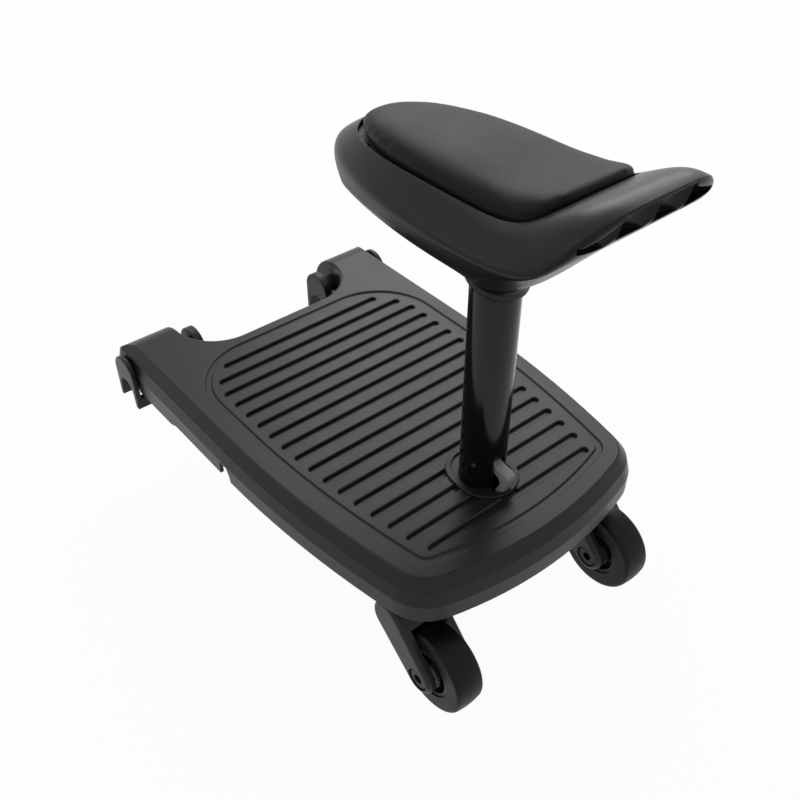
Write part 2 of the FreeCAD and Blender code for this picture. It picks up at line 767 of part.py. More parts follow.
def hull_body():
    loops = [loop(post_y + seam_radius, seat_base_z + seam_tilt, post_y - seam_radius, seat_base_z - seam_tilt,
                  seam_radius, seat_base_z, post_y, seam_fullness_shares, hull_climb_share)]
    for front, front_z, rear, rear_z, half, side_z, wide, fullness in hull_shares:
        loops.append(loop(post_y + front * seat_front, seat_base_z + front_z * seat_rise,
                          post_y - rear * seat_rear, seat_base_z + rear_z * seat_rise,
                          half * seat_half, seat_base_z + side_z * seat_rise,
                          post_y - wide * seat_rear, (front_fullness_share, fullness), hull_climb_share))
    return skin(loops)


def pad_place(grow, z, angle):
    return loop_place(post_y + pad_front + grow, z, post_y - pad_rear - grow, z, pad_half + grow, z,
                      post_y - pad_wide, pad_fullness_shares, pad_climb_share, angle)


def pad_loop(grow, z):
    points = loop(post_y + pad_front + grow, z, post_y - pad_rear - grow, z, pad_half + grow, z,
                  post_y - pad_wide, pad_fullness_shares, pad_climb_share)
    return loop_wire(points)


def pad_prism(grow, z0, z1):
    return Part.Face(pad_loop(grow, z0)).extrude(Vector(0, 0, z1 - z0))


def grip_cutters():
    top = Vector(0, post_y - seat_rear + rim_inset, seat_base_z + seat_rise - rim_drop)
    foot = top + Vector(0, grip_lean, -grip_height)
    run = top - foot
    length = run.Length
    run.normalize()
    outward = Vector(0, -run.z, run.y)
    low = foot - run * length - across * seat_front
    high = top + run * length - across * seat_front
    corners = [low, high, high + outward * length, low + outward * length]
    face = Part.Face(Part.makePolygon(corners + corners[:1]))
    cutters = [face.extrude(across * (2 * seat_front))]
    offset = math.sqrt(scoop_radius ** 2 - (scoop_pitch / 2) ** 2)
    for share in scoop_place_shares:
        end = top - run * rim_band + outward * offset + across * (share * scoop_pitch)
        cutters.append(Part.makeCylinder(scoop_radius, 2 * length, end, run * -1))
    return cutters


def make_shell():
    body = hull_body()
    crest = seat_base_z + seat_rise + overrun
    body = body.cut(pad_prism(pad_gap, pocket_floor_z, crest))
    floor_z = post_top_z + neck_web
    space = Part.makeLoft([pad_loop(-ledge - cavity_wall, floor_z), pad_loop(-ledge, pocket_floor_z)], True, True)
    body = body.cut(space)
    body = body.cut(rod(post_radius, 0, post_y, seat_base_z - seam_tilt - overrun, post_top_z))
    body = body.cut(rod(seat_bolt + flush_gap, 0, post_y, post_top_z, floor_z + overrun))
    for cutter in grip_cutters():
        body = body.cut(cutter)
    for x, y in pad_screw_places():
        body = body.cut(rod(screw_radius, x, y, pocket_floor_z - pad_screw_length, pocket_floor_z))
    return body


def pad_screw_places():
    places = []
    for share in pad_screw_angle_shares:
        place = pad_place(pad_gap - ledge / 2, 0, share * math.pi)
        places.append((place.x, place.y))
    return places


def make_board():
    body = pad_prism(pad_gap - board_gap, pocket_floor_z, board_top_z)
    for x, y in pad_screw_places():
        body = body.cut(rod(screw_radius, x, y, pocket_floor_z, board_top_z))
        body = body.cut(rod(screw_head, x, y, board_top_z - screw_head_depth, board_top_z))
    return body


def make_pad_screws():
    screws = []
    for x, y in pad_screw_places():
        head = rod(screw_head, x, y, board_top_z - screw_head_depth, board_top_z)
        screws.append(head.fuse(rod(screw_radius, x, y, pocket_floor_z - pad_screw_length, board_top_z)).removeSplitter())
    return Part.makeCompound(screws)


def make_pad():
    loops = []
    wide = post_y - pad_wide
    for grow, edge, crown, rise in pad_shares:
        z = board_top_z + edge * pad_edge + crown * pad_crown
        loops.append(loop(wide + grow * (pad_front + pad_wide), z - rise * pad_front_fall,
                          wide - grow * (pad_rear - pad_wide), z + rise * pad_rear_rise,
                          grow * pad_half, z, wide, pad_fullness_shares, pad_climb_share))
    return skin(loops)


def make_seat_bolt():
    floor_z = post_top_z + neck_web + washer_depth
    head = rod(seat_bolt_head, 0, post_y, floor_z, floor_z + seat_bolt_head_depth)
    return head.fuse(rod(seat_bolt, 0, post_y, floor_z - seat_bolt_length - neck_web, floor_z)).removeSplitter()


# Jaws on the pram's axle

def arch(radius, middle_z, foot_z, flare, x0, x1):
    turn = Part.Arc(Vector(x0, jaw_y - radius, middle_z), Vector(x0, jaw_y, middle_z + radius),
                    Vector(x0, jaw_y + radius, middle_z)).toShape()
    rear = Vector(x0, jaw_y - radius - flare, foot_z)
    front = Vector(x0, jaw_y + radius + flare, foot_z)
    edges = [turn, line(Vector(x0, jaw_y + radius, middle_z), front), line(front, rear),
             line(rear, Vector(x0, jaw_y - radius, middle_z))]
    return Part.Face(Part.Wire(edges)).extrude(Vector(x1 - x0, 0, 0))


def cheek(x0, x1):
    body = arch(jaw_crown, jaw_z, jaw_z - jaw_leg, 0, x0, x1)
    rims = []
    for edge in body.Edges:
        place = edge.BoundBox
        if place.XLength < sliver and place.ZMax > jaw_z - jaw_leg + sliver:
            rims.append(edge)
    return body.makeFillet(jaw_edge, rims)


def make_jaw():
    outer_end = jaw_outer_x + jaw_cheek
    inner_end = jaw_inner_x + jaw_inner_cheek
    legs = box(inner_end, jaw_outer_x, jaw_y - jaw_crown, jaw_y + jaw_crown,
               jaw_z - jaw_leg, jaw_z - jaw_wall_top)
    hub = cross_rod(jaw_hub, inner_end, ear_inner - jaw_hub_gap, jaw_y, jaw_z)
    body = fuse_all([cheek(jaw_inner_x, inner_end), cheek(jaw_outer_x, outer_end), legs, hub])
    channel = arch(jaw_channel, jaw_z - jaw_channel_below, jaw_z - jaw_leg, jaw_flare,
                   jaw_inner_x - overrun, outer_end + overrun)
    body = body.cut(channel)
    return body.cut(cross_rod(jaw_pin + running_fit, jaw_inner_x + jaw_pin_cover, outer_end - jaw_pin_cover,
                              jaw_y, jaw_z))


def make_jaw_pin():
    end = running_fit + jaw_pin_cover + flush_gap
    return cross_rod(jaw_pin, jaw_inner_x + end, jaw_outer_x + jaw_cheek - end, jaw_y, jaw_z)


# Casters

def slot_profile(x0, x1):
    foot = Vector(0, axle_y, axle_z)
    top = Vector(0, fork_top_y, fork_top_z)
    span = top - foot
    lean = math.atan2(span.z, span.y)
    tilt = math.acos((fork_foot - fork_top_radius) / span.Length)
    places = []
    for centre, radius, angle in ((foot, fork_foot, lean + tilt), (foot, fork_foot, lean + math.pi),
                                  (foot, fork_foot, lean - tilt), (top, fork_top_radius, lean - tilt),
                                  (top, fork_top_radius, lean), (top, fork_top_radius, lean + tilt)):
        places.append(Vector(x0, centre.y + radius * math.cos(angle), centre.z + radius * math.sin(angle)))
    edges = [Part.Arc(places[0], places[1], places[2]).toShape(), line(places[2], places[3]),
             Part.Arc(places[3], places[4], places[5]).toShape(), line(places[5], places[0])]
    return Part.Face(Part.Wire(edges)).extrude(Vector(x1 - x0, 0, 0))


def make_fork():
    left = caster_x - fork_half
    right = caster_x + fork_half
    body = slot_profile(left, right)
    rims = [edge for edge in body.Edges if edge.BoundBox.XLength < sliver]
    body = body.makeFillet(fork_round, rims)
    gap = fork_half - fork_leg
    body = body.cut(cross_rod(wheel_radius + fork_clear, caster_x - gap, caster_x + gap, axle_y, axle_z))
    head_top = skirt_z - bush_flange_depth - flush_gap
    head = rod(head_radius, caster_x, swivel_y, fork_top_z, head_top)
    head = head.cut(cross_rod(wheel_radius + fork_clear, left, right, axle_y, axle_z))
    body = body.fuse(head).removeSplitter()
    body = body.cut(rod(stem_radius, caster_x, swivel_y, stem_foot_z, head_top + overrun))
    body = body.cut(cross_rod(axle_radius, left - overrun, right + overrun, axle_y, axle_z))
    sink = bolt_head_depth + bolt_sink
    body = body.cut(cross_rod(bolt_recess, right - sink, right + overrun, axle_y, axle_z))
    return body.cut(cross_rod(bolt_recess, left - overrun, left + sink, axle_y, axle_z))


def hexagon(radius, x0, x1):
    points = []
    for index in range(6):
        angle = math.pi * index / 3
        points.append((axle_y + radius * math.cos(angle), axle_z + radius * math.sin(angle)))
    return side_prism(points, x0, x1)


def make_axle_bolt():
    face = caster_x + fork_half - bolt_sink
    seat = face - bolt_head_depth
    end = caster_x - fork_half + bolt_sink
    body = cross_rod(bolt_head, seat, face, axle_y, axle_z)
    body = body.fuse(cross_rod(axle_radius, end, seat, axle_y, axle_z)).removeSplitter()
    return body.cut(hexagon(bolt_hex, face - bolt_hex_depth, face + overrun))


def make_axle_nut():
    face = caster_x - fork_half + bolt_sink
    seat = face + bolt_head_depth
    return cross_rod(bolt_head, face, seat, axle_y, axle_z).cut(cross_rod(axle_radius, face, seat, axle_y, axle_z))


def make_spacers():
    rings = []
    gap = fork_half - fork_leg
    inner = hub_half + flush_gap
    for side in (-1, 1):
        low = caster_x + min(side * inner, side * gap)
        high = caster_x + max(side * inner, side * gap)
        body = cross_rod(spacer_radius, low, high, axle_y, axle_z)
        rings.append(body.cut(cross_rod(axle_radius, low, high, axle_y, axle_z)))
    return Part.makeCompound(rings)


def make_bearings():
    rings = []
    for side in (-1, 1):
        low = caster_x + min(side * hub_half, side * (hub_half - bearing_width))
        body = cross_rod(bearing_outer, low, low + bearing_width, axle_y, axle_z)
        rings.append(body.cut(cross_rod(axle_radius + running_fit, low, low + bearing_width, axle_y, axle_z)))
    return Part.makeCompound(rings)


def turned(points):
    wire = Part.makePolygon([Vector(caster_x + x, axle_y, axle_z + r) for x, r in points + points[:1]])
    return Part.Face(wire).revolve(Vector(caster_x, axle_y, axle_z), across, 360)


def make_hub():
    rim = tyre_inner - hub_rim
    seat = hub_half - bearing_width
    clear = axle_radius + hub_rim
    points = [(-hub_half, bearing_outer), (-seat, bearing_outer), (-seat, clear), (seat, clear),
              (seat, bearing_outer), (hub_half, bearing_outer), (hub_half, hub_boss), (hub_web_half, hub_boss),
              (hub_web_half, rim), (hub_half, rim), (hub_half, tyre_inner), (-hub_half, tyre_inner),
              (-hub_half, rim), (-hub_web_half, rim), (-hub_web_half, hub_boss), (-hub_half, hub_boss)]
    return turned(points)


def make_tyre():
    side = wheel_radius - tyre_crown - tyre_shoulder
    lip = tyre_half - tyre_shoulder
    bend = tyre_shoulder * (1 - math.sqrt(0.5))

    def place(x, r):
        return Vector(caster_x + x, axle_y, axle_z + r)

    edges = [line(place(-tyre_half, tyre_inner), place(-tyre_half, side)),
             Part.Arc(place(-tyre_half, side), place(-tyre_half + bend, side + tyre_shoulder - bend),
                      place(-lip, side + tyre_shoulder)).toShape(),
             Part.Arc(place(-lip, side + tyre_shoulder), place(0, wheel_radius),
                      place(lip, side + tyre_shoulder)).toShape(),
             Part.Arc(place(lip, side + tyre_shoulder), place(tyre_half - bend, side + tyre_shoulder - bend),
                      place(tyre_half, side)).toShape(),
             line(place(tyre_half, side), place(tyre_half, tyre_inner)),
             line(place(tyre_half, tyre_inner), place(-tyre_half, tyre_inner))]
    return Part.Face(Part.Wire(edges)).revolve(place(0, 0), across, 360)


def make_stem():
    top = deck_top - stem_top_below
    groove_z = deck_top - bush_top_below + flush_gap
    body = rod(stem_radius, caster_x, swivel_y, stem_foot_z, top)
    return body.cut(ring(stem_radius + overrun, stem_radius - clip_seat, caster_x, swivel_y,
                         groove_z, groove_z + clip_depth))


def make_clip():
    low = deck_top - bush_top_below + flush_gap
    return ring(stem_radius + clip_reach, stem_radius - clip_seat, caster_x, swivel_y, low, low + clip_depth)


def make_bush():
    inner = stem_radius + running_fit
    body = rod(inner + bush_wall, caster_x, swivel_y, skirt_z, deck_top - bush_top_below)
    flange = rod(bush_flange, caster_x, swivel_y, skirt_z - bush_flange_depth, skirt_z)
    body = body.fuse(flange).removeSplitter()
    return body.cut(rod(inner, caster_x, swivel_y, skirt_z - overrun, deck_top))


save("deck_shell", make_deck())
save("post_socket", make_socket())
save("socket_screws", make_socket_screws())
save("post_tube", make_post())
save("post_foot_plug", make_foot_plug())
save("post_top_plug", make_top_plug())
save("release_lever", make_lever())
save("lever_pin", make_lever_pin())
save("lever_spring", make_lever_spring())
save("seat_collar", seat_collar())
save("seat_shell", make_shell())
save("seat_bolt", make_seat_bolt())
save("seat_bolt_washer", ring(washer_radius, seat_bolt, 0, post_y, post_top_z + neck_web,
                              post_top_z + neck_web + washer_depth))
save("pad_board", make_board())
save("pad_screws", make_pad_screws())
save("seat_pad", make_pad())
both_sides("jaw", make_jaw())
both_sides("jaw_pin", make_jaw_pin())
both_sides("caster_fork", make_fork())
both_sides("swivel_stem", make_stem())
both_sides("stem_clip", make_clip())
both_sides("swivel_bush", make_bush())
both_sides("axle_bolt", make_axle_bolt())
both_sides("axle_nut", make_axle_nut())
both_sides("axle_spacers", make_spacers())
both_sides("wheel_bearings", make_bearings())
both_sides("wheel_hub", make_hub())
both_sides("tyre", make_tyre())
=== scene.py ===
import json
import math

import bpy
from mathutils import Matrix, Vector


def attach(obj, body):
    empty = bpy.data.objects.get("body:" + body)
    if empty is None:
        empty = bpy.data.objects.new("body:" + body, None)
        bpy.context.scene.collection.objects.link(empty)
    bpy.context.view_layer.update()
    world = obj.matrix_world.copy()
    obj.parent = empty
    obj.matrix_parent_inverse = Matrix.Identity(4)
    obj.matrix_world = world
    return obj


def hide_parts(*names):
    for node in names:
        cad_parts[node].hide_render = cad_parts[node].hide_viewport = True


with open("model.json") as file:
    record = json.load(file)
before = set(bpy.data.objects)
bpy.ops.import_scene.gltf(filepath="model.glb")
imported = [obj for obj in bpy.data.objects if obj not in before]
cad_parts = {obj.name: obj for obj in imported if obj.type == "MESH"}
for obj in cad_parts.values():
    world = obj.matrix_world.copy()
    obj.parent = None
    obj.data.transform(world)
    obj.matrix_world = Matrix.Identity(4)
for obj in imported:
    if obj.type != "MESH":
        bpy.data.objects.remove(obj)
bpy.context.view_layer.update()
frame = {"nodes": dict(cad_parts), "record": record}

# Buggy board with a padded seat. Finishes for the solids; a finer seat shell, pad, release lever and
# axle screws in place of theirs; studio and camera. Metres.

# Camera: the photograph's place, for a square frame
CAMERA_PLACE = (-0.4054, -0.51015, 0.6908)
CAMERA_TURN = (math.radians(49.67), 0.0, math.radians(-39.57))
CAMERA_LENS = 42.90
CAMERA_SENSOR = 36.0

# Studio
FLOOR_SIZE = 9.0
FLOOR_DROP = 0.0006
FLOOR_WHITE = 0.96
SKY_LEVEL = 0.25
SEAT_MIDDLE = (0.0, 0.0, 0.2)
DECK_MIDDLE = (0.0, 0.0, 0.14)
# Lamps: name, power, size, place, aim. The one at the back is mirrored in the deck.
LAMPS = [
    ("key", 6.0, (1.3, 1.3), (-1.5, 1.1, 1.7), SEAT_MIDDLE),
    ("fill", 0.4, (1.6, 1.0), (1.2, -1.6, 1.5), SEAT_MIDDLE),
    ("back", 15.0, (1.4, 1.0), (1.22, 0.98, 1.33), DECK_MIDDLE),
    ("top", 5.0, (1.4, 1.4), (0.3, 1.2, 2.0), SEAT_MIDDLE),
]

# Seat shell, as in the solids: seam on the post, reaches and heights
POST_Y = -0.12435
SEAM_Z = 0.337
SEAM_RADIUS = 0.0237
SEAM_TILT = 0.0075
SEAT_RISE = 0.111
SEAT_FRONT = 0.1642
SEAT_REAR = 0.1245
SEAT_HALF = 0.0648
FRONT_FULLNESS = 2.2
# Rows from the seam up, as shares: front reach and height, rear reach and height, half-width, side height,
# widest place; then rear fullness and how late the rear climbs
SEAT_ROWS = [
    (0.352, 0.050, 0.207, 0.007, 0.517, 0.106, 0.023, 2.1, 1.0),
    (0.631, 0.164, 0.360, 0.100, 0.784, 0.225, 0.106, 2.2, 1.0),
    (0.895, 0.243, 0.530, 0.330, 0.975, 0.325, 0.221, 2.6, 1.5),
    (1.030, 0.260, 0.760, 0.590, 1.060, 0.435, 0.354, 3.2, 2.0),
    (0.988, 0.290, 0.920, 0.765, 1.090, 0.490, 0.423, 4.0, 2.6),
    (0.991, 0.429, 0.975, 0.916, 1.120, 0.516, 0.439, 4.4, 2.7),
    (0.930, 0.500, 0.962, 0.954, 1.070, 0.538, 0.400, 4.4, 2.4),
    (0.787, 0.631, 0.830, 0.982, 0.885, 0.623, 0.323, 5.0, 2.2),
    (0.679, 0.724, 0.496, 0.727, 0.656, 0.703, 0.326, 4.0, 1.0),
    (0.200, 0.690, 0.430, 0.690, 0.100, 0.690, 0.345, 2.2, 1.0),
]
# The lip: its row, and the share of half a turn where its crease begins
LIP_ROW = 6
LIP_FROM_SHARE = 0.60
# Places round a row, as shares of half a turn from the front
ROUND_SHARES = [0, 0.04, 0.10, 0.20, 0.32, 0.42, 0.5, 0.57, 0.64, 0.72, 0.80, 0.88, 0.95, 1]
# Pocket for the pad, cavity under it and bore for the tube
PAD_FRONT = 0.131
PAD_REAR = 0.077
PAD_WIDE = 0.014
PAD_HALF = 0.0466
PAD_FULLNESS = (2.5, 5.0)
POCKET_GAP = 0.0022
POCKET_Z = 0.3958
CUT_TOP_SHARE = 1.2
CAVITY_Z = 0.364
TUBE_RADIUS = 0.019
TUBE_TOP = 0.357
TUBE_FOOT = 0.317
CAVITY_RADIUS = 0.032
# Finger hollows under the tail's lip
GRIP_LEAN = 0.25
FLUTE_RADIUS = 0.018
FLUTE_PITCH = 0.030
FLUTE_LIP = 0.0014
FLUTE_SLOPE = 0.35
FLUTE_LENGTH = 0.024
FLUTE_TAPER = 0.55
FLUTE_SIDES = (-1.5, -0.5, 0.5, 1.5)

# Release lever: side view as distances behind the post's middle and heights above the deck
DECK_TOP = 0.142
LEVER_HALF = 0.0047
LEVER_BEVEL = 0.0013
LEVER_SIDE = [
    (0.0067, 0.0290), (0.0120, 0.0275), (0.0190, 0.0222), (0.0280, 0.0210), (0.0322, 0.0190),
    (0.0334, 0.0145), (0.0324, 0.0080), (0.0294, 0.0020), (0.0262, 0.0000), (0.0262, -0.0110),
    (0.0294, -0.0110), (0.0294, -0.0144), (0.0262, -0.0190), (0.0206, -0.0190), (0.0206, 0.0000),
    (0.0234, 0.0050), (0.0242, 0.0095), (0.0224, 0.0126), (0.0190, 0.0136), (0.0120, 0.0180),
    (0.0067, 0.0190), (0.0025, 0.0215), (0.0017, 0.0240), (0.0025, 0.0265),
]

# Axle screws: where the axles are along and up, reaches from the middle, and the sockets in the heads
AXLE_PLACE = (-0.18825, 0.0385)
SCREW_END = 0.0790
SCREW_SEAT = 0.11725
SCREW_FACE = 0.12125
SCREW_RADIUS = 0.00398
SCREW_HEAD = 0.0090
SCREW_SOCKET = 0.0046
SCREW_SOCKET_DEPTH = 0.0032
SCREW_BEVEL = 0.0005
SOCKET_POINTS = 6
OVERCUT = 0.01

# Seat pad: how it is puffed up
PAD_GROW = 0.0006
PAD_VOXEL = 0.0034
PAD_PRESSURE = 4.0
PAD_FRAMES = 20
PAD_CAP = 0.0007

# Finishes
SHINE = 0.22
# Solids with another finish than their slot's: the pad screws are made black as painted shade, so they show
# no glints in the dark gap round the pad
SHADE_BLACKENED = {"pad_screws": "bolt_black"}
# Angles above which edges are sharp, and above which they are bevelled
SHELL_SHARP = math.radians(28.0)
EDGE_SHARP = math.radians(42.0)
BEVEL_FROM = math.radians(40.0)


# Shader fields and finishes

class Field:
    """A value that changes over a surface: an output socket with arithmetic."""

    def __init__(self, finish, socket):
        self.finish = finish
        self.socket = socket

    def math(self, operation, first, second=0.0):
        return self.finish.node("Math", {"operation": operation}, {0: first, 1: second})

    def __add__(self, other):
        return self.math("ADD", self, other)

    def __radd__(self, other):
        return self.math("ADD", other, self)

    def __sub__(self, other):
        return self.math("SUBTRACT", self, other)

    def __rsub__(self, other):
        return self.math("SUBTRACT", other, self)

    def __mul__(self, other):
        return self.math("MULTIPLY", self, other)

    def __rmul__(self, other):
        return self.math("MULTIPLY", other, self)

    def __pow__(self, other):
        return self.math("POWER", self, other)

    def clamped(self):
        return self.finish.node("Clamp", {}, {"Value": self, "Min": 0.0, "Max": 1.0})

    def wave(self):
        return self.math("SINE", self)


class Nodes:
    """The nodes of one material or of the world."""

    def __init__(self, owner):
        owner.use_nodes = True
        self.tree = owner.node_tree

    def node(self, kind, settings, inputs, output=0):
        made = self.tree.nodes.new("ShaderNode" + kind)
        for key, value in settings.items():
            setattr(made, key, value)
        for key, value in inputs.items():
            if isinstance(value, Field):
                self.tree.links.new(value.socket, made.inputs[key])
            else:
                made.inputs[key].default_value = value
        return Field(self, made.outputs[output])

    def seen(self):
        """One for the rays that show the white studio itself: straight, mirrored or through glass."""
        kinds = ("Camera", "Glossy", "Transmission")
        rays = [self.node("LightPath", {}, {}, "Is %s Ray" % kind) for kind in kinds]
        return (rays[0] + rays[1] + rays[2]).clamped()


class Finish(Nodes):
    """One material, built on a Principled shader."""

    def __init__(self, name):
        self.material = bpy.data.materials.new(name)
        super().__init__(self.material)
        self.shader = self.tree.nodes["Principled BSDF"]

    def place(self, stretch=(1.0, 1.0, 1.0)):
        coords = self.node("TexCoord", {}, {}, "Object")
        return self.node("Mapping", {}, {"Vector": coords, "Scale": stretch})

    def noise(self, scale, detail=2.0, stretch=(1.0, 1.0, 1.0)):
        return self.node("TexNoise", {}, {"Vector": self.place(stretch), "Scale": scale, "Detail": detail})

    def cells(self, scale, feature):
        coarse = {"Vector": self.place(), "Scale": scale * 0.4, "Detail": 2.0}
        warp = self.node("TexNoise", {}, coarse, "Color")
        push = self.node("VectorMath", {"operation": "SCALE"}, {0: warp, "Scale": 0.6 / scale})
        bent = self.node("VectorMath", {"operation": "ADD"}, {0: self.place(), 1: push})
        return self.node("TexVoronoi", {"feature": feature}, {"Vector": bent, "Scale": scale}, "Distance")

    def mix(self, factor, first, second):
        colours = [tuple(c) + (1.0,) if isinstance(c, tuple) else c for c in (first, second)]
        return self.node("Mix", {"data_type": "RGBA"}, {0: factor, 6: colours[0], 7: colours[1]}, 2)

    def rounded(self, radius):
        return self.node("Bevel", {"samples": 6}, {"Radius": radius})

    def edges(self, round_normal):
        flat = self.node("NewGeometry", {}, {}, "Normal")
        facing = self.node("VectorMath", {"operation": "DOT_PRODUCT"}, {0: round_normal, 1: flat}, "Value")
        return ((1.0 - facing) * 5.0).clamped()

    def bump(self, height, depth, strength, normal=None):
        inputs = {"Height": height, "Distance": depth, "Strength": strength}
        if normal:
            inputs["Normal"] = normal
        return self.node("Bump", {}, inputs)

    def set(self, **values):
        for key, value in values.items():
            socket = self.shader.inputs[key.replace("_", " ")]
            if isinstance(value, Field):
                self.tree.links.new(value.socket, socket)
            else:
                socket.default_value = value
        return self.material


def tint(level, warmth=0.0):
    return (level * (1.0 + warmth), level, level * (1.02 - warmth))


def moulded_plastic(name, level, rough, edge_lift, edge_radius=0.0009, shine=SHINE):
    """Dark moulded plastic: spark-eroded grain, faint flow marks, polished along its edges and painted
    lighter there, partly as wear and partly as a painted highlight.
    """
    finish = Finish(name)
    flow = finish.noise(14.0, 3.0)
    grain = finish.noise(1500.0, 2.0)
    scuffs = finish.noise(90.0, 6.0, (1.0, 0.25, 1.0))
    soft = finish.rounded(edge_radius)
    edges = finish.edges(soft)
    body = finish.mix(flow, tint(level * 0.90), tint(level * 1.12))
    speckled = finish.mix(grain * 0.35, body, tint(level * 1.30))
    # Edges painted pale: partly wear, partly a painted highlight along the edge lines.
    worn_and_edge_lit = finish.mix(edges * edge_lift, speckled, tint(min(level * 3.4, 0.5)))
    roughness = rough + (flow - 0.5) * 0.10 + (scuffs - 0.5) * 0.12 - edges * 0.08
    return finish.set(Base_Color=worn_and_edge_lit, Roughness=roughness.clamped(), Specular_IOR_Level=shine,
                      Normal=finish.bump(grain, 0.00005, 0.35, soft))


def tyre_rubber():
    """Wheel rubber: matt, dusty, with fine mould rings on its sides, and edges painted lighter, partly as
    rubbing and partly as a painted highlight.
    """
    finish = Finish("tyre_rubber")
    dust = finish.noise(55.0, 5.0)
    grain = finish.noise(1100.0, 3.0)
    along = finish.node("SeparateXYZ", {}, {0: finish.place()}, "Y") - AXLE_PLACE[0]
    height = finish.node("SeparateXYZ", {}, {0: finish.place()}, "Z") - AXLE_PLACE[1]
    reach = (along * along + height * height) ** 0.5
    rings = (reach * 4200.0).wave() * 0.5 + 0.5
    soft = finish.rounded(0.0012)
    edges = finish.edges(soft)
    dusty = finish.mix(dust, tint(0.005), tint(0.010, 0.02))
    # Edges painted paler: partly rubbing, partly a painted highlight.
    rubbed_and_edge_lit = finish.mix(edges * 0.5, dusty, tint(0.05))
    roughness = 0.44 + (dust - 0.5) * 0.20
    relief = rings * 0.5 + grain * 0.5
    return finish.set(Base_Color=rubbed_and_edge_lit, Roughness=roughness.clamped(), Specular_IOR_Level=SHINE * 0.7,
                      Normal=finish.bump(relief, 0.00006, 0.4, soft))


def post_paint():
    """Gloss black enamel with a slight orange peel; its edges painted paler, partly as wear and partly as a
    painted highlight.
    """
    finish = Finish("post_paint")
    peel = finish.noise(260.0, 1.0)
    haze = finish.noise(22.0, 4.0, (1.0, 1.0, 0.3))
    soft = finish.rounded(0.0008)
    edges = finish.edges(soft)
    body = finish.mix(haze, tint(0.006), tint(0.010))
    # Edges painted paler: partly wear, partly a painted highlight.
    worn_and_edge_lit = finish.mix(edges * 0.4, body, tint(0.12))
    roughness = 0.14 + (haze - 0.5) * 0.08
    return finish.set(Base_Color=worn_and_edge_lit, Roughness=roughness.clamped(), Coat_Weight=0.05, Coat_Roughness=0.06,
                      Specular_IOR_Level=SHINE,
                      Normal=finish.bump(peel, 0.00004, 0.15, soft))


def lever_plastic():
    """Light grey satin plastic, a little grubby on its faces, with edges painted pale, partly as wear and
    partly as a painted highlight.
    """
    finish = Finish("lever_plastic")
    grime = finish.noise(120.0, 5.0)
    grain = finish.noise(1800.0, 2.0)
    soft = finish.rounded(0.0008)
    edges = finish.edges(soft)
    body = finish.mix(grime, tint(0.30), tint(0.40))
    # Edges painted pale: partly wear, partly a painted highlight.
    worn_and_edge_lit = finish.mix(edges * 0.5, body, tint(0.48))
    roughness = 0.42 + (grime - 0.5) * 0.16
    return finish.set(Base_Color=worn_and_edge_lit, Roughness=roughness.clamped(),
                      Normal=finish.bump(grain, 0.00004, 0.3, soft))


def pad_leatherette():
    """Soft coated cloth: pebble grain, creased a little, with a low sheen."""
    finish = Finish("pad_leatherette")
    pebbles = finish.cells(620.0, "F1")
    pores = finish.noise(2400.0, 2.0)
    cloud = finish.noise(24.0, 4.0)
    hollows = (pebbles * 1.6).clamped()
    body = finish.mix(cloud, tint(0.012), tint(0.016))
    grained = finish.mix(hollows * 0.35, body, tint(0.022))
    roughness = 0.46 + (cloud - 0.5) * 0.12 - hollows * 0.06
    relief = pores * 0.3 - hollows
    return finish.set(Base_Color=grained, Roughness=roughness.clamped(), Specular_IOR_Level=SHINE * 0.3,
                      Normal=finish.bump(relief, 0.00012, 0.25))


def brushed_steel():
    """Zinc-plated steel, brushed round."""
    finish = Finish("brushed_steel")
    strokes = finish.noise(260.0, 4.0, (1.0, 1.0, 14.0))
    spots = finish.noise(60.0, 3.0)
    soft = finish.rounded(0.0004)
    body = finish.mix(spots, tint(0.50, 0.01), tint(0.66))
    roughness = 0.26 + (strokes - 0.5) * 0.30
    return finish.set(Base_Color=body, Metallic=1.0, Roughness=roughness.clamped(),
                      Normal=finish.bump(strokes, 0.00003, 0.3, soft))


def black_bolt():
    """Black oxide on steel, its corners painted brighter, partly as rubbing and partly as a painted
    highlight.
    """
    finish = Finish("black_bolt")
    stain = finish.noise(240.0, 4.0)
    soft = finish.rounded(0.0005)
    edges = finish.edges(soft)
    body = finish.mix(stain, tint(0.003), tint(0.006))
    # Corners painted brighter: partly rubbing, partly a painted highlight.
    worn_and_edge_lit = finish.mix(edges * 0.35, body, tint(0.05))
    roughness = 0.38 + (stain - 0.5) * 0.2
    return finish.set(Base_Color=worn_and_edge_lit, Metallic=0.2, Roughness=roughness.clamped(), Specular_IOR_Level=SHINE,
                      Normal=finish.bump(stain, 0.00003, 0.25, soft))


def bush_nylon():
    """Natural nylon: milky, matt."""
    finish = Finish("bush_nylon")
    cloud = finish.noise(70.0, 4.0)
    grain = finish.noise(1200.0, 2.0)
    body = finish.mix(cloud, tint(0.60, 0.02), tint(0.72, 0.03))
    roughness = 0.5 + (cloud - 0.5) * 0.2
    return finish.set(Base_Color=body, Roughness=roughness.clamped(), Normal=finish.bump(grain, 0.00003, 0.3))


def board_wood():
    """Plywood under the pad, coloured near black as painted shade for the gap round the pad: long grain with
    darker veins.
    """
    finish = Finish("board_wood")
    grain = finish.noise(60.0, 6.0, (6.0, 0.5, 6.0))
    veins = ((grain * 46.0).wave() * 0.5 + 0.5).clamped()
    # Near-black colour: painted shade for the gap round the pad.
    body = finish.mix(grain, (0.010, 0.008, 0.007), (0.022, 0.018, 0.015))
    veined = finish.mix(veins * 0.3, body, (0.006, 0.005, 0.004))
    return finish.set(Base_Color=veined, Roughness=(0.55 + veins * 0.15).clamped(),
                      Normal=finish.bump(veins, 0.00006, 0.3))


# Solids carried over

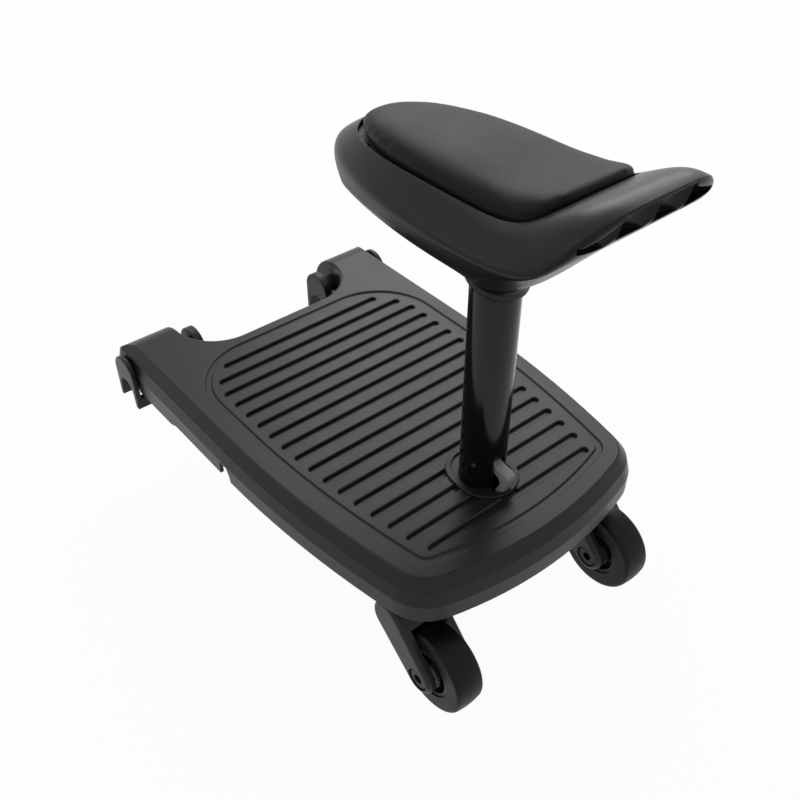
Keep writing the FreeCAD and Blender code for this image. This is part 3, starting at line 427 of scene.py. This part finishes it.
def finish_solids():
    finishes = {
        "deck_plastic": moulded_plastic("deck_plastic", 0.018, 0.34, 0.60, 0.0005),
        "seat_plastic": moulded_plastic("seat_plastic", 0.008, 0.32, 0.40, 0.0007, SHINE * 0.75),
        "trim_plastic": moulded_plastic("trim_plastic", 0.014, 0.38, 0.40),
        "jaw_plastic": moulded_plastic("jaw_plastic", 0.020, 0.38, 0.40),
        "fork_plastic": moulded_plastic("fork_plastic", 0.028, 0.38, 0.40),
        "hub_plastic": moulded_plastic("hub_plastic", 0.014, 0.44, 0.40),
        "tyre_rubber": tyre_rubber(),
        "post_paint": post_paint(),
        "lever_plastic": lever_plastic(),
        "pad_cover": pad_leatherette(),
        "steel": brushed_steel(),
        "bolt_black": black_bolt(),
        "bush_plastic": bush_nylon(),
        "board_wood": board_wood(),
    }
    for part in frame["record"]["subparts"]:
        solid = frame["nodes"][part["node"]]
        # The pad screws take the black bolt finish as painted shade.
        material = finishes[SHADE_BLACKENED.get(part["node"], part["material_slot"])]
        if not solid.material_slots:
            solid.data.materials.append(material)
        for slot in solid.material_slots:
            slot.material = material
    return finishes


# Tools

def select_none():
    bpy.ops.object.select_all(action="DESELECT")


def select_only(piece):
    bpy.ops.object.select_all(action="DESELECT")
    piece.select_set(True)
    bpy.context.view_layer.objects.active = piece


def apply_all(piece):
    select_only(piece)
    for modifier in list(piece.modifiers):
        bpy.ops.object.modifier_apply(modifier=modifier.name)


def combine(piece, other, operation):
    """Joins another piece to this one, or cuts it away, and drops it."""
    step = piece.modifiers.new("combine", "BOOLEAN")
    step.operation = operation
    step.solver = "EXACT"
    step.object = other
    apply_all(piece)
    bpy.data.objects.remove(other)


def cut_away(piece, cutter):
    combine(piece, cutter, "DIFFERENCE")


def round_edges(piece, width, segments):
    bevel = piece.modifiers.new("edges", "BEVEL")
    bevel.width = width
    bevel.segments = segments
    bevel.limit_method = "ANGLE"
    bevel.angle_limit = BEVEL_FROM
    apply_all(piece)
    bpy.ops.object.shade_smooth_by_angle(angle=EDGE_SHARP)


# Seat shell

def signed(value, power):
    return math.copysign(abs(value) ** power, value)


def level_place(front, front_z, rear, rear_z, half, side_z, wide, fullness, angle, climb=1.0):
    """A point of a level curve: an egg whose ends have their own reach, height and fullness."""
    along, sideways = math.cos(angle), math.sin(angle)
    ahead = along > 0.0
    power = 2.0 / (fullness[0] if ahead else fullness[1])
    reach = front - wide if ahead else wide - rear
    tip = front_z if ahead else rear_z
    lift = (tip - side_z) * abs(along) ** (power * climb)
    return half * signed(sideways, power), wide + reach * signed(along, power), side_z + lift


def hull_place(row, angle):
    if row < 2:
        base = SEAM_Z - (1 - row) * SEAM_TILT
        return level_place(POST_Y + SEAM_RADIUS, base + SEAM_TILT, POST_Y - SEAM_RADIUS, base - SEAM_TILT,
                           SEAM_RADIUS, base, POST_Y, (2.0, 2.0), angle)
    front, front_z, rear, rear_z, half, side_z, wide, fullness, rear_climb = SEAT_ROWS[row - 2]
    climb = rear_climb if math.cos(angle) < 0.0 else 1.0
    return level_place(POST_Y + front * SEAT_FRONT, SEAM_Z + front_z * SEAT_RISE,
                       POST_Y - rear * SEAT_REAR, SEAM_Z + rear_z * SEAT_RISE,
                       half * SEAT_HALF, SEAM_Z + side_z * SEAT_RISE,
                       POST_Y - wide * SEAT_REAR, (FRONT_FULLNESS, fullness), angle, climb)


def pad_place(grow, z, angle):
    return level_place(POST_Y + PAD_FRONT + grow, z, POST_Y - PAD_REAR - grow, z, PAD_HALF + grow, z,
                       POST_Y - PAD_WIDE, PAD_FULLNESS, angle)


def round_place(radius, z, angle):
    return radius * math.sin(angle), POST_Y + radius * math.cos(angle), z


def make_hull():
    """Shapes a ball's rings into the rows of the shell."""
    around = 2 * (len(ROUND_SHARES) - 1)
    rows = len(SEAT_ROWS) + 2
    select_none()
    bpy.ops.mesh.primitive_uv_sphere_add(segments=around, ring_count=rows + 1, radius=1.0)
    hull = bpy.context.object
    hull.name = "seat_hull"
    lip = set()
    for point in hull.data.vertices:
        row = round((math.asin(max(-1.0, min(1.0, point.co.z))) / math.pi + 0.5) * (rows + 1)) - 1
        place = round(math.atan2(point.co.y, point.co.x) / (2.0 * math.pi) * around)
        if row < 0:
            point.co = (0.0, POST_Y, SEAM_Z - SEAM_TILT)
        elif row == rows:
            point.co = (0.0, POST_Y - SEAT_ROWS[-1][6] * SEAT_REAR, SEAM_Z + SEAT_ROWS[-1][1] * SEAT_RISE)
        else:
            turn = math.copysign(ROUND_SHARES[abs(place)], place) * math.pi
            point.co = hull_place(row, turn)
            if row == LIP_ROW + 2 and ROUND_SHARES[abs(place)] > LIP_FROM_SHARE:
                lip.add(point.index)
    crease = hull.data.attributes.new("crease_edge", "FLOAT", "EDGE")
    for edge in hull.data.edges:
        if lip.issuperset(edge.vertices):
            crease.data[edge.index].value = 1.0
    rounding = hull.modifiers.new("rounding", "SUBSURF")
    rounding.levels = 3
    rounding.render_levels = 3
    apply_all(hull)
    return hull


def make_cutter(place, size, low, high):
    """A closed wall on one level curve between two heights, to cut the shell with."""
    select_none()
    bpy.ops.mesh.primitive_cylinder_add(vertices=120, radius=1.0, depth=2.0)
    cutter = bpy.context.object
    for point in cutter.data.vertices:
        angle = math.atan2(point.co.x, point.co.y)
        point.co = place(size, high if point.co.z > 0.0 else low, angle)
    return cutter


def lip_place(x):
    """The point of the tail's lip at a distance from the middle."""
    fullness = SEAT_ROWS[LIP_ROW][7]
    half = SEAT_ROWS[LIP_ROW][4] * SEAT_HALF
    sideways = min(abs(x) / half, 1.0) ** (fullness / 2.0)
    return hull_place(LIP_ROW + 2, math.copysign(math.pi - math.asin(sideways), x))


def make_flute(side):
    """A leaning bar, topped just under the lip and shorter at the sides, to scoop a finger's hollow."""
    size = math.hypot(1.0, GRIP_LEAN)
    depth = math.sqrt(FLUTE_RADIUS ** 2 - (FLUTE_PITCH / 2.0) ** 2)
    middle = lip_place(side * FLUTE_PITCH)
    half = SEAT_ROWS[LIP_ROW][4] * SEAT_HALF
    select_none()
    bpy.ops.mesh.primitive_cylinder_add(vertices=72, radius=1.0, depth=2.0)
    flute = bpy.context.object
    for point in flute.data.vertices:
        x = middle[0] + FLUTE_RADIUS * point.co.x
        inward = FLUTE_RADIUS * point.co.y - depth
        y = middle[1] + inward / size
        z = middle[2] + inward * GRIP_LEAN / size
        top = lip_place(x)[2] - FLUTE_LIP - FLUTE_SLOPE * max(inward, 0.0)
        length = FLUTE_LENGTH * (1.0 - FLUTE_TAPER * min(abs(x) / half, 1.0) ** 3)
        drop = max(z - top, 0.0) if point.co.z > 0.0 else length
        point.co = (x, y + drop * GRIP_LEAN, z - drop)
    return flute


def make_shell(plastic):
    hull = make_hull()
    select_only(hull)
    bpy.ops.object.mode_set(mode="EDIT")
    bpy.ops.mesh.select_all(action="SELECT")
    bpy.ops.mesh.bisect(plane_co=(0.0, POST_Y, SEAM_Z), plane_no=(0.0, -SEAM_TILT / SEAM_RADIUS, 1.0),
                        use_fill=True, clear_inner=True)
    bpy.ops.object.mode_set(mode="OBJECT")
    for side in FLUTE_SIDES:
        cut_away(hull, make_flute(side))
    top = SEAM_Z + CUT_TOP_SHARE * SEAT_RISE
    cut_away(hull, make_cutter(pad_place, POCKET_GAP, POCKET_Z, top))
    cut_away(hull, make_cutter(round_place, CAVITY_RADIUS, CAVITY_Z, top))
    cut_away(hull, make_cutter(round_place, TUBE_RADIUS, TUBE_FOOT, TUBE_TOP))
    select_only(hull)
    bpy.ops.object.shade_smooth_by_angle(angle=SHELL_SHARP)
    hull.data.materials.clear()
    hull.data.materials.append(plastic)
    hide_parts("seat_shell")
    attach(hull, "board")


# Seat pad

def puff_up(piece):
    """Blows the pad up a little as cloth, and holds each point near its place."""
    start = [point.co.copy() for point in piece.data.vertices]
    cloth = piece.modifiers.new("cover", "CLOTH")
    cloth.settings.quality = 6
    cloth.settings.mass = 0.25
    cloth.settings.tension_stiffness = 40.0
    cloth.settings.bending_stiffness = 20.0
    cloth.settings.use_pressure = True
    cloth.settings.uniform_pressure_force = PAD_PRESSURE
    cloth.settings.effector_weights.gravity = 0.0
    cloth.point_cache.frame_start = 1
    cloth.point_cache.frame_end = PAD_FRAMES
    scene = bpy.context.scene
    for step in range(1, PAD_FRAMES + 1):
        scene.frame_set(step)
    apply_all(piece)
    scene.frame_set(1)
    for point, place in zip(piece.data.vertices, start):
        move = point.co - place
        if move.length > PAD_CAP:
            point.co = place + move.normalized() * PAD_CAP


def make_pad(cover):
    source = frame["nodes"]["seat_pad"]
    pad = bpy.data.objects.new("seat_cushion", source.data.copy())
    bpy.context.scene.collection.objects.link(pad)
    select_only(pad)
    bpy.ops.object.mode_set(mode="EDIT")
    bpy.ops.mesh.select_all(action="SELECT")
    bpy.ops.mesh.remove_doubles(threshold=0.00002)
    bpy.ops.transform.shrink_fatten(value=PAD_GROW)
    bpy.ops.object.mode_set(mode="OBJECT")
    remesh = pad.modifiers.new("remesh", "REMESH")
    remesh.mode = "VOXEL"
    remesh.voxel_size = PAD_VOXEL
    relax = pad.modifiers.new("relax", "SMOOTH")
    relax.iterations = 2
    apply_all(pad)
    puff_up(pad)
    settle = pad.modifiers.new("settle", "SMOOTH")
    settle.iterations = 4
    rounding = pad.modifiers.new("rounding", "SUBSURF")
    rounding.levels = 1
    rounding.render_levels = 1
    apply_all(pad)
    bpy.ops.object.shade_smooth()
    pad.data.materials.clear()
    pad.data.materials.append(cover)
    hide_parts("seat_pad")
    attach(pad, "board")


# Release lever

def make_lever(plastic):
    """A hooked tab: its side view drawn out to its width, with rounded edges."""
    select_none()
    bpy.ops.mesh.primitive_circle_add(vertices=len(LEVER_SIDE), fill_type="NGON")
    lever = bpy.context.object
    lever.name = "release_tab"
    for point, (back, rise) in zip(lever.data.vertices, LEVER_SIDE):
        point.co = (-LEVER_HALF, POST_Y - back, DECK_TOP + rise)
    select_only(lever)
    bpy.ops.object.mode_set(mode="EDIT")
    bpy.ops.mesh.select_all(action="SELECT")
    bpy.ops.mesh.extrude_region_move(TRANSFORM_OT_translate={"value": (2.0 * LEVER_HALF, 0.0, 0.0)})
    bpy.ops.mesh.select_all(action="SELECT")
    bpy.ops.mesh.normals_make_consistent(inside=False)
    bpy.ops.object.mode_set(mode="OBJECT")
    round_edges(lever, LEVER_BEVEL, 4)
    lever.data.materials.clear()
    lever.data.materials.append(plastic)
    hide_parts("release_lever")
    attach(lever, "lever")


# Axle screws

def make_rod(radius, start, end, points=64):
    """A round bar across the board at the height of the axle."""
    select_none()
    bpy.ops.mesh.primitive_cylinder_add(vertices=points, radius=radius, depth=abs(end - start),
                                        location=((start + end) / 2.0, AXLE_PLACE[0], AXLE_PLACE[1]),
                                        rotation=(0.0, math.pi / 2.0, 0.0))
    bpy.ops.object.transform_apply(location=True, rotation=True, scale=True)
    return bpy.context.object


def make_screw(name, side, steel):
    """A cap screw that stops short of the nut's face, with a six-sided socket in its head."""
    screw = make_rod(SCREW_RADIUS, side * SCREW_END, side * (SCREW_SEAT + SCREW_BEVEL))
    screw.name = name + "_axle_screw"
    head = make_rod(SCREW_HEAD, side * SCREW_SEAT, side * SCREW_FACE)
    combine(screw, head, "UNION")
    floor = side * (SCREW_FACE - SCREW_SOCKET_DEPTH)
    cut_away(screw, make_rod(SCREW_SOCKET, floor, side * (SCREW_FACE + OVERCUT), SOCKET_POINTS))
    round_edges(screw, SCREW_BEVEL, 3)
    screw.data.materials.clear()
    screw.data.materials.append(steel)
    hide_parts(name + "_axle_bolt")
    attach(screw, name + "_caster")


# Studio

def make_floor():
    select_none()
    bpy.ops.mesh.primitive_plane_add(size=FLOOR_SIZE, location=(0.0, 0.0, -FLOOR_DROP))
    floor = bpy.context.object
    floor.name = "floor"
    finish = Finish("floor_paper")
    fibre = finish.noise(30.0, 3.0)
    paper = finish.set(Base_Color=finish.mix(fibre, (0.90, 0.90, 0.90), (0.92, 0.92, 0.92)), Roughness=0.9)
    white = finish.node("Emission", {}, {"Color": (1.0, 1.0, 1.0, 1.0), "Strength": 1.0})
    lit = Field(finish, finish.shader.outputs[0])
    both = finish.node("MixShader", {}, {0: finish.seen() * FLOOR_WHITE, 1: lit, 2: white})
    out = finish.tree.nodes["Material Output"]
    finish.tree.links.new(both.socket, out.inputs["Surface"])
    floor.data.materials.append(paper)


def make_sky():
    world = bpy.data.worlds.new("studio")
    bpy.context.scene.world = world
    sky = Nodes(world)
    level = sky.seen() * (1.0 - SKY_LEVEL) + SKY_LEVEL
    ground = sky.tree.nodes["Background"]
    ground.inputs["Color"].default_value = (1.0, 1.0, 1.0, 1.0)
    sky.tree.links.new(level.socket, ground.inputs["Strength"])


def make_lamp(name, power, size, place, aim):
    data = bpy.data.lights.new(name, "AREA")
    data.shape = "RECTANGLE"
    data.size, data.size_y = size
    data.energy = power
    lamp = bpy.data.objects.new(name, data)
    bpy.context.scene.collection.objects.link(lamp)
    lamp.location = place
    direction = Vector(aim) - Vector(place)
    lamp.rotation_euler = direction.to_track_quat("-Z", "Y").to_euler()


def make_studio():
    make_floor()
    make_sky()
    for lamp in LAMPS:
        make_lamp(*lamp)


def make_camera():
    data = bpy.data.cameras.new("camera")
    data.lens = CAMERA_LENS
    data.sensor_width = CAMERA_SENSOR
    camera = bpy.data.objects.new("camera", data)
    camera.location = CAMERA_PLACE
    camera.rotation_euler = CAMERA_TURN
    bpy.context.scene.collection.objects.link(camera)
    bpy.context.scene.camera = camera


make_camera()
make_studio()
finishes = finish_solids()
make_shell(finishes["seat_plastic"])
make_pad(finishes["pad_cover"])
make_lever(finishes["lever_plastic"])
make_screw("left", -1.0, finishes["bolt_black"])
make_screw("right", 1.0, finishes["bolt_black"])
bpy.context.scene.view_settings.view_transform = "Standard"
